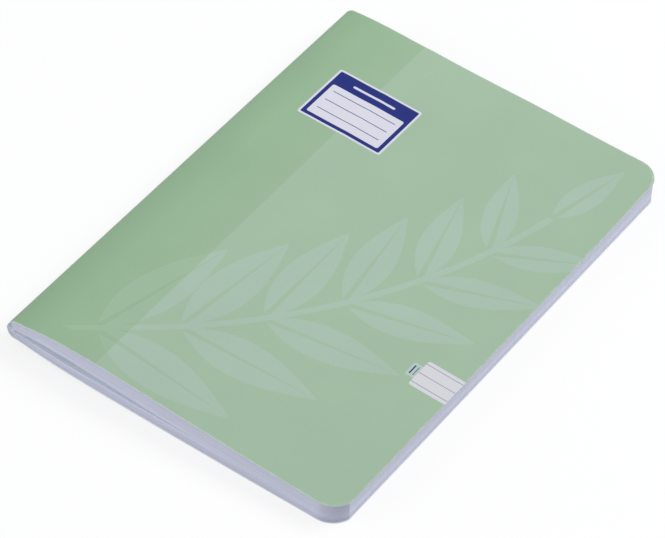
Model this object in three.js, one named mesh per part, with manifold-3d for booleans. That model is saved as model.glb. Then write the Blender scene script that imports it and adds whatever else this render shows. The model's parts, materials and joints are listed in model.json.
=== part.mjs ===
// A stapled exercise book with a soft card cover, closed and lying on its back cover.
// The spine is at low X, the fore edge is at high X, and the two ends face along Y.
// Every sheet is folded once round the ones inside it. Each half of a sheet is a leaf of
// its own, cut at the fold, because the book opens between its leaves. All the leaves and
// both covers turn about one line along the outside of the spine, at the height of the fold.

import * as THREE from 'three';
import { mergeVertices } from 'three/addons/utils/BufferGeometryUtils.js';
import Module from 'manifold-3d';

const wasm = await Module();
wasm.setup();

// Outline of the closed book, in millimetres
const bookWidth = 148;              // outside of the spine to the fore edge
const bookHeight = 210;             // bottom end to top end
const foreCornerRadius = 10;        // both corners at the fore edge
const foreCornerSweep = 71;         // degrees: the round cut starts in line with the end
                                    // and meets the fore edge at a slight angle

// Card, paper and wire
const coverThickness = 0.3;
const foreOverhang = 0.3;           // front cover past the paper at the fore edge
const backSetback = 0.15;           // back cover short of the front cover there
const endOverhang = 0.1;            // both covers past the paper at the two ends
const coverClearance = 0.06;        // card to the first leaf
const paperThickness = 0.07;
const sheetCount = 30;              // folded sheets, two leaves each
const foldStack = 3.2;              // card and all folds, measured into the spine
const foldCut = 0.12;               // between the two halves of a folded sheet
const wireDiameter = 0.5;
const wireClearance = 0.05;         // round the wire, in the card and in the paper
const foldClearance = 0.04;         // more of it inside the innermost fold

// Side view: heights above the table, and distances from the outside of the spine
const foldHeight = 7.5;             // the fold line of every sheet
const flankStart = 6;               // from here on the leaves lie above each other
const crestHeight = 15;             // thickest place
const crestStart = 30;
const crestEnd = 42;
const foreHeight = 9.3;             // thickness at the fore edge
const wedgeRoof = 8.55;             // open wedge between the halves of the book
const wedgeRoofStart = 16;
const wedgeRoofEnd = 26;
const wedgeFloor = 5.2;
const wedgeFloorStart = 40;
const settleStart = 80;             // the halves meet here
const settleHeight = 5.1;
const backFlatStart = 60;           // from here on the back cover lies on the table
const foreSplit = 3.3;              // height of the middle leaf at the fore edge
const halvesClearance = 0.1;
const sagPower = 1.25;              // how hollow the front cover falls to the fore edge
const middlePower = 1.3;
const liftPower = 3.6;              // how fast the back cover comes down to the table

// Round of the spine: above and below the fold, part of a quarter of an oval
const topNose = { length: 5.5, height: 5.4, degrees: 74 };
const bottomNose = { length: 3.4, height: 4.5, degrees: 90 };
const noseSlimness = 1.15;          // 1 is a true oval, and more is slimmer at the tip

// Staples: two, each with its back on the spine and its points closed in the middle fold
const stapleSpacing = 104;          // centre to centre
const stapleWidth = 12;             // between the centres of the two legs
const staplePointLength = 4.4;      // each point, from its leg along the fold
const wireBendRadius = 0.45;
const wireSides = 8;

// Number of steps in the round corners
const leafCornerSteps = 3;
const coverCornerSteps = 6;
const wireBendSteps = 3;

// Places where the side view has a corner: round the spine, where each cross line ends a
// share of the way to the flank, and in the rise and the long fall of the front cover
const noseInnerShares = [0, 0.15, 0.4, 0.7];
const riseMiddle = 11;
const fallShares = [0.4, 0.75];

// Leaves are numbered from the front. A few neighbours are made as one double leaf.
const leafCount = 2 * sheetCount;
const doubleLeaves = [13, 23, 37, 47];

const wireRadius = wireDiameter / 2;
const wireRoom = wireRadius + wireClearance;
const innerFoldRoom = wireRoom + foldClearance;
const clinchDistance = foldStack + wireRoom;
const originDistance = (bookWidth - wireRadius) / 2;

const clamp01 = (value) => Math.min(Math.max(value, 0), 1);
const share = (x, start, end) => clamp01((x - start) / (end - start));
const mix = (from, to, amount) => from + (to - from) * amount;
const easeOut = (amount) => Math.sin((amount * Math.PI) / 2);

// Distance and height of a place on the round of the spine, counted from the fold
function nosePlace({ length, height, degrees }, amount) {
  const turn = THREE.MathUtils.degToRad(degrees * amount);
  return { distance: length * (1 - Math.cos(turn)), rise: height * Math.sin(turn) ** noseSlimness };
}
const topNoseEnd = nosePlace(topNose, 1);
const bottomNoseEnd = nosePlace(bottomNose, 1);

// Outside of the front cover
function topLine(x) {
  if (x < crestEnd) {
    const rise = easeOut(share(x, topNoseEnd.distance, crestStart));
    return mix(foldHeight + topNoseEnd.rise, crestHeight, rise);
  }
  return mix(foreHeight, crestHeight, (1 - share(x, crestEnd, bookWidth)) ** sagPower);
}

// Outside of the back cover
function bottomLine(x) {
  const lift = (1 - share(x, bottomNoseEnd.distance, backFlatStart)) ** liftPower;
  return (foldHeight - bottomNoseEnd.rise) * lift;
}

// Line between the front half and the back half, past the wedge
function middleLine(x) {
  return mix(foreSplit, settleHeight, (1 - share(x, settleStart, bookWidth)) ** middlePower);
}

// Underside of the front half
function roofLine(x) {
  const fold = foldHeight + innerFoldRoom;
  const settled = middleLine(x) + halvesClearance / 2;
  if (x < wedgeRoofEnd) {
    return mix(fold, wedgeRoof, easeOut(share(x, foldStack, wedgeRoofStart)));
  }
  return x < settleStart ? mix(wedgeRoof, settled, share(x, wedgeRoofEnd, settleStart)) : settled;
}

// Top of the back half
function floorLine(x) {
  const fold = foldHeight - innerFoldRoom;
  const settled = middleLine(x) - halvesClearance / 2;
  if (x < wedgeFloorStart) {
    return mix(fold, wedgeFloor, easeOut(share(x, foldStack, wedgeFloorStart)));
  }
  return x < settleStart ? mix(wedgeFloor, settled, share(x, wedgeFloorStart, settleStart)) : settled;
}

// The two halves of the book, each between its cover's outside and its innermost leaf
const frontHalf = { up: 1, nose: topNose, outerLine: topLine, innerLine: roofLine };
const backHalf = { up: -1, nose: bottomNose, outerLine: bottomLine, innerLine: floorLine };

// How far each kind of piece stays inside the front cover's outline
const frontTrim = { fore: 0, end: 0 };
const backTrim = { fore: backSetback, end: 0 };
const paperTrim = { fore: foreOverhang, end: endOverhang };

const cornerTurn = THREE.MathUtils.degToRad(foreCornerSweep);
const cornerReach = foreCornerRadius * Math.sin(cornerTurn);

// Lines from the outside of the half to its innermost leaf, from the fold to the fore edge
function crossLines(half, trim, cornerSteps) {
  const lines = [];
  const add = (outerX, outerZ, innerX, innerZ, cornerAngle = 0) => {
    const outer = new THREE.Vector2(outerX, outerZ);
    const inner = new THREE.Vector2(innerX, innerZ);
    lines.push({ outer, inner, cornerAngle });
  };

  // Fold, then the round of the spine
  const cutHeight = foldHeight + (half.up * foldCut) / 2;
  add(0, cutHeight, foldStack, cutHeight);
  noseInnerShares.forEach((innerShare, index) => {
    const { distance, rise } = nosePlace(half.nose, (index + 1) / noseInnerShares.length);
    const innerX = mix(foldStack, flankStart, innerShare);
    add(distance, foldHeight + half.up * rise, innerX, half.innerLine(innerX));
  });

  // Flank, up to the round fore corners
  const cornerStart = bookWidth - trim.fore - cornerReach;
  const flank = [
    flankStart, riseMiddle, wedgeRoofStart, wedgeRoofEnd, crestEnd, backFlatStart, settleStart,
    ...fallShares.map((amount) => mix(settleStart, cornerStart, amount)), cornerStart,
  ];
  for (const x of flank) {
    add(x, half.outerLine(x), x, half.innerLine(x));
  }

  // Round fore corners
  for (let step = 1; step <= cornerSteps; step += 1) {
    const turn = (step / cornerSteps) * cornerTurn;
    const x = cornerStart + foreCornerRadius * Math.sin(turn);
    add(x, half.outerLine(x), x, half.innerLine(x), turn);
  }
  return lines;
}

// A closed sheet of card or paper between two depths below the outside of its half
function sheetGeometry(half, trim, cornerSteps, depthsAt) {
  const lines = crossLines(half, trim, cornerSteps);
  const positions = [];
  for (const { outer, inner, cornerAngle } of lines) {
    const reach = inner.clone().sub(outer);
    const direction = reach.clone().normalize();
    const cornerCut = foreCornerRadius * (1 - Math.cos(cornerAngle));
    const halfLength = bookHeight / 2 - trim.end - cornerCut;
    for (const depth of depthsAt(reach.length())) {
      const point = outer.clone().addScaledVector(direction, depth);
      positions.push(point.x, -halfLength, point.y, point.x, halfLength, point.y);
    }
  }

  // Four corners at each line: outside low and high Y, then inside low and high Y
  const faces = [];
  const quad = (a, b, c, d) => {
    if (half.up > 0) {
      faces.push(a, b, c, a, c, d);
    } else {
      faces.push(a, c, b, a, d, c);
    }
  };
  for (let line = 0; line < lines.length - 1; line += 1) {
    const here = 4 * line;
    const next = here + 4;
    quad(here, next, next + 1, here + 1);
    quad(here + 3, next + 3, next + 2, here + 2);
    quad(here + 2, next + 2, next, here);
    quad(here + 1, next + 1, next + 3, here + 3);
  }
  const last = 4 * (lines.length - 1);
  quad(3, 2, 0, 1);
  quad(last + 1, last, last + 2, last + 3);

  const geometry = new THREE.BufferGeometry();
  geometry.setAttribute('position', new THREE.Float32BufferAttribute(positions, 3));
  geometry.setIndex(faces);
  return geometry;
}

function toSolid(geometry) {
  const bare = geometry.clone();
  bare.deleteAttribute('normal');
  bare.deleteAttribute('uv');
  const merged = mergeVertices(bare, 1e-5);
  return new wasm.Manifold(new wasm.Mesh({
    numProp: 3,
    vertProperties: new Float32Array(merged.attributes.position.array),
    triVerts: new Uint32Array(merged.index.array),
  }));
}

function toGeometry(solid) {
  const mesh = solid.getMesh();
  const geometry = new THREE.BufferGeometry();
  geometry.setAttribute('position', new THREE.BufferAttribute(mesh.vertProperties, 3));
  geometry.setIndex(new THREE.BufferAttribute(mesh.triVerts, 1));
  geometry.computeVertexNormals();
  return geometry;
}

function block(lowX, highX, centreY, lengthY) {
  const geometry = new THREE.BoxGeometry(highX - lowX, lengthY, 2 * wireRoom);
  geometry.translate((lowX + highX) / 2, centreY, foldHeight);
  return toSolid(geometry);
}

const stapleCentres = [-stapleSpacing / 2, stapleSpacing / 2];
const legOffsets = [-stapleWidth / 2, stapleWidth / 2];

// Room for the wire: a slot for the back of the staple, and a way through for each leg
function stapleRoom() {
  const outside = -2 * wireDiameter;
  const slotLength = stapleWidth + 2 * wireRoom;
  let room = null;
  for (const centre of stapleCentres) {
    const parts = [block(outside, wireRoom, centre, slotLength)];
    for (const offset of legOffsets) {
      parts.push(block(outside, clinchDistance, centre + offset, 2 * wireRoom));
    }
    for (const part of parts) {
      room = room ? room.add(part) : part;
    }
  }
  return room;
}

const room = stapleRoom();

// Outside depths of each leaf, spread evenly between the card and the middle of the book
function leafDepths(firstSheet, lastSheet) {
  return (reach) => {
    const outermost = coverThickness + coverClearance;
    const pitch = (reach - outermost - paperThickness) / (sheetCount - 1);
    return [outermost + firstSheet * pitch, outermost + lastSheet * pitch + paperThickness];
  };
}

function coverGeometry(half, trim) {
  const depths = () => [0, coverThickness];
  const card = sheetGeometry(half, trim, coverCornerSteps, depths);
  return toGeometry(toSolid(card).subtract(room));
}

function leafGeometry(firstLeaf, lastLeaf) {
  const isFront = firstLeaf <= sheetCount;
  const half = isFront ? frontHalf : backHalf;
  const firstSheet = isFront ? firstLeaf - 1 : leafCount - lastLeaf;
  const lastSheet = isFront ? lastLeaf - 1 : leafCount - firstLeaf;
  const depths = leafDepths(firstSheet, lastSheet);
  const sheet = sheetGeometry(half, paperTrim, leafCornerSteps, depths);
  return toGeometry(toSolid(sheet).subtract(room));
}

// A path whose rings fall on its own points, so a straight run of wire takes one step
class PointPath extends THREE.Curve {
  constructor(points) {
    super();
    this.points = points;
  }

  getPoint(t, target = new THREE.Vector3()) {
    const place = clamp01(t) * (this.points.length - 1);
    const index = Math.min(Math.floor(place), this.points.length - 2);
    return target.lerpVectors(this.points[index], this.points[index + 1], place - index);
  }

  getPointAt(u, target) {
    return this.getPoint(u, target);
  }

  getTangentAt(u, target = new THREE.Vector3()) {
    const nearest = Math.round(clamp01(u) * (this.points.length - 1));
    const before = this.points[Math.max(nearest - 1, 0)];
    const after = this.points[Math.min(nearest + 1, this.points.length - 1)];
    return target.subVectors(after, before).normalize();
  }
}

// Points round a square bend of the wire, in the plane of the fold
function bendPoints(corner, before, after) {
  const start = corner.clone().add(before.clone().sub(corner).setLength(wireBendRadius));
  const end = corner.clone().add(after.clone().sub(corner).setLength(wireBendRadius));
  const centre = start.clone().add(end).sub(corner);
  const points = [];
  for (let step = 0; step <= wireBendSteps; step += 1) {
    const turn = (step / wireBendSteps) * (Math.PI / 2);
    const point = centre.clone();
    point.addScaledVector(start.clone().sub(centre), Math.cos(turn));
    point.addScaledVector(end.clone().sub(centre), Math.sin(turn));
    points.push(point);
  }
  return points;
}

function stapleGeometry(centreY) {
  const at = (x, y) => new THREE.Vector3(x, centreY + y, foldHeight);
  const reach = stapleWidth / 2;
  const corners = [
    at(clinchDistance, -reach + staplePointLength),
    at(clinchDistance, -reach),
    at(0, -reach),
    at(0, reach),
    at(clinchDistance, reach),
    at(clinchDistance, reach - staplePointLength),
  ];
  const points = [corners[0]];
  for (let corner = 1; corner < corners.length - 1; corner += 1) {
    points.push(...bendPoints(corners[corner], corners[corner - 1], corners[corner + 1]));
  }
  points.push(corners[corners.length - 1]);

  const section = new THREE.Shape();
  for (let side = 0; side < wireSides; side += 1) {
    const turn = (side / wireSides) * 2 * Math.PI;
    const x = wireRadius * Math.cos(turn);
    const y = wireRadius * Math.sin(turn);
    if (side === 0) {
      section.moveTo(x, y);
    } else {
      section.lineTo(x, y);
    }
  }
  section.closePath();
  return new THREE.ExtrudeGeometry(section, {
    steps: points.length - 1,
    extrudePath: new PointPath(points),
    bevelEnabled: false,
  });
}

const cardMaterial = () => new THREE.MeshStandardMaterial({ color: 0xa0b9a1, roughness: 0.75 });
const paperMaterial = () => new THREE.MeshStandardMaterial({ color: 0xdddde6, roughness: 0.9 });
const wireMaterial = () => new THREE.MeshStandardMaterial({
  color: 0xb8bbc0,
  roughness: 0.3,
  metalness: 1,
});

const book = new THREE.Group();
book.position.x = -originDistance;

function addPiece(name, geometry, material) {
  const mesh = new THREE.Mesh(geometry, material);
  mesh.name = name;
  book.add(mesh);
}

addPiece('front_cover', coverGeometry(frontHalf, frontTrim), cardMaterial());
addPiece('back_cover', coverGeometry(backHalf, backTrim), cardMaterial());

const leafNumber = (leaf) => String(leaf).padStart(2, '0');
for (let leaf = 1; leaf <= leafCount; leaf += 1) {
  if (doubleLeaves.includes(leaf) && leaf !== sheetCount && leaf < leafCount) {
    const name = `leaves_${leafNumber(leaf)}_${leafNumber(leaf + 1)}`;
    addPiece(name, leafGeometry(leaf, leaf + 1), paperMaterial());
    leaf += 1;
  } else {
    addPiece(`leaf_${leafNumber(leaf)}`, leafGeometry(leaf, leaf), paperMaterial());
  }
}

addPiece('staple_bottom', stapleGeometry(stapleCentres[0]), wireMaterial());
addPiece('staple_top', stapleGeometry(stapleCentres[1]), wireMaterial());

export default book;
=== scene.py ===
import json
import math
import random

import bpy
import numpy as np
from mathutils import Matrix, Vector

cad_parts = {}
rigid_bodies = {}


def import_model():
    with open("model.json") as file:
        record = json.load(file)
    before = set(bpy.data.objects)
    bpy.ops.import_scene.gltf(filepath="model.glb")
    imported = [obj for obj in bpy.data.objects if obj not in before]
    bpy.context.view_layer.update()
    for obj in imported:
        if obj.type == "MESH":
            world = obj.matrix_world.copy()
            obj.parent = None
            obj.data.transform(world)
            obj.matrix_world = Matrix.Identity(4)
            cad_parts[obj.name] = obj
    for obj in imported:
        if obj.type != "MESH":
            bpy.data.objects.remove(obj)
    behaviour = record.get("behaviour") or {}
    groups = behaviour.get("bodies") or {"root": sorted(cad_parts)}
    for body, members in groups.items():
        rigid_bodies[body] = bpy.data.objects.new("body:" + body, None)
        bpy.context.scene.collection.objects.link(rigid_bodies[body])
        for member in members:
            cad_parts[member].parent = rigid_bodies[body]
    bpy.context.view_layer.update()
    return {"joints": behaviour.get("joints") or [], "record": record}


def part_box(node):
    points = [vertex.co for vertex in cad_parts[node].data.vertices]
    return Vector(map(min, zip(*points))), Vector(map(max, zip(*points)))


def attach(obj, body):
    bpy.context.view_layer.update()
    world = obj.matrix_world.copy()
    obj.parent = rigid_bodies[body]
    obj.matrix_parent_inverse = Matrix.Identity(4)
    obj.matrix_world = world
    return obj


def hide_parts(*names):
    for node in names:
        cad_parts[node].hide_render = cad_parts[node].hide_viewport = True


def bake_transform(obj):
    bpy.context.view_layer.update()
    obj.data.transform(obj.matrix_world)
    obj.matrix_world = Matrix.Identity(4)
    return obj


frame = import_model()

# A stapled exercise book with a soft card cover, closed and lying on its back cover. Both
# covers and all the leaves are sheets of their own, cut at the fold in the spine, and the
# book opens between them.

# Frame of the book
# Sizes below are in millimetres. Distances run from the outside of the spine to the fore
# edge, heights run up from the table, and Y runs from the middle towards the top end.
MM = 0.001
BODIES = frame["record"]["behaviour"]["bodies"]
JOINTS = frame["joints"]
SPINE_X = JOINTS[0]["pos_m"][0] / MM
FOLD_HEIGHT = JOINTS[0]["pos_m"][2] / MM
COVER_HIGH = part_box("front_cover")[1] / MM
BOOK_WIDTH = COVER_HIGH.x - SPINE_X
HALF_HEIGHT = COVER_HIGH.y
PAPER_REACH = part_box("leaf_01")[1].x / MM - SPINE_X
BACK_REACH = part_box("back_cover")[1].x / MM - SPINE_X
PAPER_HALF_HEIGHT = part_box("leaf_01")[1].y / MM

# Card, paper and wire
COVER_THICKNESS = 0.3
COVER_CLEARANCE = 0.06
PAPER_THICKNESS = 0.07
SHEET_COUNT = 30
LEAF_COUNT = 2 * SHEET_COUNT
FOLD_STACK = 3.2
FOLD_CUT = 0.12
WIRE_RADIUS = 0.25
WIRE_ROOM = 0.3
INNER_FOLD_ROOM = 0.34

# Round cut of the fore corners, which meets the fore edge at a slight angle
CORNER_RADIUS = 10
CORNER_SWEEP = math.radians(71)
CORNER_LENGTH = CORNER_RADIUS * math.sin(CORNER_SWEEP)
CORNER_DEPTH = CORNER_RADIUS * (1 - math.cos(CORNER_SWEEP))

# Side view of the closed book: a wedge stays open between its two halves near the spine
FLANK_START = 6
CREST_HEIGHT = 15
CREST_START = 30
CREST_END = 42
FORE_HEIGHT = 9.3
WEDGE_ROOF = 8.55
WEDGE_ROOF_START = 16
WEDGE_ROOF_END = 26
WEDGE_FLOOR = 5.2
WEDGE_FLOOR_START = 40
SETTLE_START = 80
SETTLE_HEIGHT = 5.1
BACK_FLAT_START = 60
FORE_SPLIT = 3.3
HALVES_CLEARANCE = 0.1
SAG_POWER = 1.25
MIDDLE_POWER = 1.3
LIFT_POWER = 3.6

# Round of the spine: length, height and degrees of each quarter of an oval
TOP_NOSE = (5.5, 5.4, 74)
BOTTOM_NOSE = (3.4, 4.5, 90)
NOSE_SLIMNESS = 1.15

# The sheets are laid out along lines that run from the outside of the book to its middle.
# Where a line starts on the round of the spine, at a share of the round, its inner end has
# moved from the fold to the flank by the share below it. More lines start past the round.
ROUND_SHARES = (0, 0.25, 0.5, 0.75, 1)
INNER_SHARES = (0, 0, 0.15, 0.4, 0.7)
PAST_ROUND_SHARES = (0.35, 0.7)

# Towards the top end the front half lies lower over the wedge. Along its fore edge it dips a
# little, and its far corner lifts. Near the spine the back cover curls up a little more than
# its solid. Each hump is (size, start, peak, end).
OUTER_SINK = (2.2, FOLD_STACK, 38, 100)
INNER_SINK = (1.8, 7, 38, 72)
BACK_CURL = (0.95, 0, 8, 110)
HUMP_RISE_POWER = 1.3
HUMP_FALL_POWER = 2
FORE_WARP_START = 75
FORE_WARP_POWER = 1.5
FORE_DIP = 0.37
CORNER_LIFT = 1.85
CORNER_LIFT_POWER = 9

# Steps of the meshes. The rows of a sheet crowd towards the two ends of the book, and its
# lines towards the spine.
NOSE_STEPS = 12
FLANK_STEPS = 34
FLANK_CROWDING = 1.25
CORNER_STEPS = 14
SHEET_ROWS = 14
SHARP_ANGLE = math.radians(15)

# Staples, whose two points are clinched in the middle of the book
STAPLE_SPACING = 104
STAPLE_CENTRES = (-STAPLE_SPACING / 2, STAPLE_SPACING / 2)
STAPLE_WIDTH = 12
STAPLE_POINT = 4.4
WIRE_BEND = 0.45
CLINCH_DISTANCE = FOLD_STACK + WIRE_ROOM

# Camera that matches the photograph, with its clip distances in metres
PHOTO_WIDTH = 665
FOCAL_PIXELS = 3821.4
SENSOR_WIDTH = 36
CAMERA_AZIMUTH = math.radians(33.655)
CAMERA_ELEVATION = math.radians(46.321)
CAMERA_ROLL = math.radians(-2.880)
CAMERA_DISTANCE = 1418.1
CAMERA_TARGET = (72.51, -3.59)
CAMERA_CLIP = (0.01, 20)

SEED = 7
random.seed(SEED)


def place(distance, y, height):
    """A point of the book in the frame's metres."""
    return Vector((distance + SPINE_X, y, height)) * MM


def share(x, start, end):
    """How far x has come from start to end, from 0 to 1."""
    return min(max((x - start) / (end - start), 0), 1)


def mix(a, b, amount):
    return a + (b - a) * amount


def ease_out(amount):
    """A rise from 0 to 1 that starts steep and ends level."""
    return math.sin(amount * math.pi / 2)


# Side view of the closed book, with the same curves as in the solids

def nose_place(nose, amount):
    """Distance and rise of a place on the round of the spine, counted from the fold."""
    length, height, degrees = nose
    turn = math.radians(degrees * amount)
    return length * (1 - math.cos(turn)), height * math.sin(turn) ** NOSE_SLIMNESS


TOP_NOSE_END = nose_place(TOP_NOSE, 1)
BOTTOM_NOSE_END = nose_place(BOTTOM_NOSE, 1)


def top_line(x):
    """Outside of the front cover."""
    if x < CREST_END:
        rise = ease_out(share(x, TOP_NOSE_END[0], CREST_START))
        return mix(FOLD_HEIGHT + TOP_NOSE_END[1], CREST_HEIGHT, rise)
    return mix(FORE_HEIGHT, CREST_HEIGHT, (1 - share(x, CREST_END, BOOK_WIDTH)) ** SAG_POWER)


def bottom_line(x):
    """Outside of the back cover."""
    lift = (1 - share(x, BOTTOM_NOSE_END[0], BACK_FLAT_START)) ** LIFT_POWER
    return (FOLD_HEIGHT - BOTTOM_NOSE_END[1]) * lift


def middle_line(x):
    """Where the two halves meet past the wedge."""
    fall = (1 - share(x, SETTLE_START, BOOK_WIDTH)) ** MIDDLE_POWER
    return mix(FORE_SPLIT, SETTLE_HEIGHT, fall)


def roof_line(x):
    """Inside of the front half, over the wedge."""
    settled = middle_line(x) + HALVES_CLEARANCE / 2
    if x < WEDGE_ROOF_END:
        rise = ease_out(share(x, FOLD_STACK, WEDGE_ROOF_START))
        return mix(FOLD_HEIGHT + INNER_FOLD_ROOM, WEDGE_ROOF, rise)
    if x < SETTLE_START:
        return mix(WEDGE_ROOF, settled, share(x, WEDGE_ROOF_END, SETTLE_START))
    return settled


def floor_line(x):
    """Inside of the back half, under the wedge."""
    settled = middle_line(x) - HALVES_CLEARANCE / 2
    if x < WEDGE_FLOOR_START:
        fall = ease_out(share(x, FOLD_STACK, WEDGE_FLOOR_START))
        return mix(FOLD_HEIGHT - INNER_FOLD_ROOM, WEDGE_FLOOR, fall)
    if x < SETTLE_START:
        return mix(WEDGE_FLOOR, settled, share(x, WEDGE_FLOOR_START, SETTLE_START))
    return settled


def hump(x, size, start, peak, end):
    """A height that rises from start to peak and falls again up to end."""
    rise = ease_out(share(x, start, peak)) ** HUMP_RISE_POWER
    return size * rise * ease_out(1 - share(x, peak, end)) ** HUMP_FALL_POWER


def front_warp(x, y, depth_share):
    """How far a place of the front half lies above the side view."""
    upwards = share(y, -HALF_HEIGHT, HALF_HEIGHT)
    sunk = mix(hump(x, *OUTER_SINK), hump(x, *INNER_SINK), depth_share) * upwards
    dip = FORE_DIP * (1 - (y / HALF_HEIGHT) ** 2)
    lift = CORNER_LIFT * upwards ** CORNER_LIFT_POWER - dip
    towards_fore = share(x, FORE_WARP_START, BOOK_WIDTH) ** FORE_WARP_POWER
    return lift * towards_fore * (1 - depth_share) - sunk


def back_warp(x, y, depth_share):
    """How far a place of the back half lies above the side view."""
    return hump(x, *BACK_CURL) * (1 - depth_share)


# The two halves of the book: up or down from the fold, the round of the spine, the lines of
# the outside and the inside, and the warp
FRONT = {"up": 1, "nose": TOP_NOSE, "outer": top_line, "inner": roof_line,
         "warp": front_warp}
BACK = {"up": -1, "nose": BOTTOM_NOSE, "outer": bottom_line, "inner": floor_line,
        "warp": back_warp}


def round_lines(half):
    """Lines from the round of the spine, and just past it, to the innermost leaf.

    Up to the second share of the round, their inner ends rise from the cut in the fold."""
    up, outer, inner = half["up"], half["outer"], half["inner"]
    cut_height = FOLD_HEIGHT + up * FOLD_CUT / 2
    for step in range(NOSE_STEPS + 1):
        amount = step / NOSE_STEPS
        outer_x, rise = nose_place(half["nose"], amount)
        outer_z = FOLD_HEIGHT + up * max(rise, FOLD_CUT / 2)
        inner_share = float(np.interp(amount, ROUND_SHARES, INNER_SHARES))
        inner_x = mix(FOLD_STACK, FLANK_START, inner_share)
        inner_z = mix(cut_height, inner(inner_x), share(amount, 0, ROUND_SHARES[1]))
        yield (outer_x, outer_z), (inner_x, inner_z)
    round_end = nose_place(half["nose"], 1)[0]
    for amount in PAST_ROUND_SHARES:
        outer_x = mix(round_end, FLANK_START, amount)
        inner_x = mix(FOLD_STACK, FLANK_START, mix(INNER_SHARES[-1], 1, amount))
        yield (outer_x, outer(outer_x)), (inner_x, inner(inner_x))


def cross_lines(half, reach):
    """Lines from the outside of a half to its innermost leaf, and how far the corner cuts in."""
    lines = [(outer_point, inner_point, 0.0) for outer_point, inner_point in round_lines(half)]

    def add(x, cut):
        lines.append(((x, half["outer"](x)), (x, half["inner"](x)), cut))

    corner_start = reach - CORNER_LENGTH
    for step in range(FLANK_STEPS + 1):
        add(mix(FLANK_START, corner_start, (step / FLANK_STEPS) ** FLANK_CROWDING), 0.0)
    for step in range(1, CORNER_STEPS + 1):
        turn = step / CORNER_STEPS * CORNER_SWEEP
        add(corner_start + CORNER_RADIUS * math.sin(turn), CORNER_RADIUS * (1 - math.cos(turn)))
    return lines


# Meshes, and the material slots of a sheet

OUTER_FACE, INNER_FACE, CUT_EDGE = range(3)


def new_object(name, points, faces, materials, face_materials=None):
    """A smooth mesh from points in metres, with its sharp edges kept."""
    mesh = bpy.data.meshes.new(name)
    mesh.from_pydata([tuple(point) for point in points], [], faces)
    for material in materials:
        mesh.materials.append(material)
    if face_materials is not None:
        mesh.polygons.foreach_set("material_index", face_materials)
    mesh.polygons.foreach_set("use_smooth", [True] * len(mesh.polygons))
    mesh.set_sharp_from_angle(angle=SHARP_ANGLE)
    mesh.update()
    made = bpy.data.objects.new(name, mesh)
    bpy.context.scene.collection.objects.link(made)
    return made


def sheet_points(half, reach, half_height, depths_at):
    """Points of a sheet, line by line, and on each line row by row at both its depths."""
    points = []
    for outer_point, inner_point, cut in cross_lines(half, reach):
        outer = np.array(outer_point)
        way = np.array(inner_point) - outer
        length = np.linalg.norm(way)
        for depth in depths_at(length, inner_point[0]):
            x, z = outer + way / length * depth
            for row in range(SHEET_ROWS + 1):
                y = -(half_height - cut) * math.cos(math.pi * row / SHEET_ROWS)
                points.append(place(x, y, z + half["warp"](x, y, depth / length)))
    return points


def make_sheet(name, half, reach, half_height, depths_at, materials):
    """A closed sheet between two depths below the outside of its half of the book.

    materials are for the outer face, the inner face and the cut edges."""
    points = sheet_points(half, reach, half_height, depths_at)
    across = SHEET_ROWS + 1
    last_line = len(points) // (2 * across) - 1
    faces, slots = [], []

    def quad(slot, *corners):
        """A face between four corners, each of them (line, depth, row)."""
        face = tuple((2 * line + depth) * across + row for line, depth, row in corners)
        faces.append(face if half["up"] > 0 else face[::-1])
        slots.append(slot)

    top = SHEET_ROWS
    for line in range(last_line):
        after = line + 1
        for row in range(SHEET_ROWS):
            above = row + 1
            quad(OUTER_FACE, (line, 0, row), (after, 0, row), (after, 0, above), (line, 0, above))
            quad(INNER_FACE, (line, 1, above), (after, 1, above), (after, 1, row), (line, 1, row))
        quad(CUT_EDGE, (line, 1, 0), (after, 1, 0), (after, 0, 0), (line, 0, 0))
        quad(CUT_EDGE, (line, 0, top), (after, 0, top), (after, 1, top), (line, 1, top))
    for row in range(SHEET_ROWS):
        above = row + 1
        quad(CUT_EDGE, (0, 0, row), (0, 0, above), (0, 1, above), (0, 1, row))
        quad(CUT_EDGE, (last_line, 0, row), (last_line, 1, row), (last_line, 1, above),
             (last_line, 0, above))
    return new_object(name, points, faces, materials, slots)


# Materials

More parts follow.
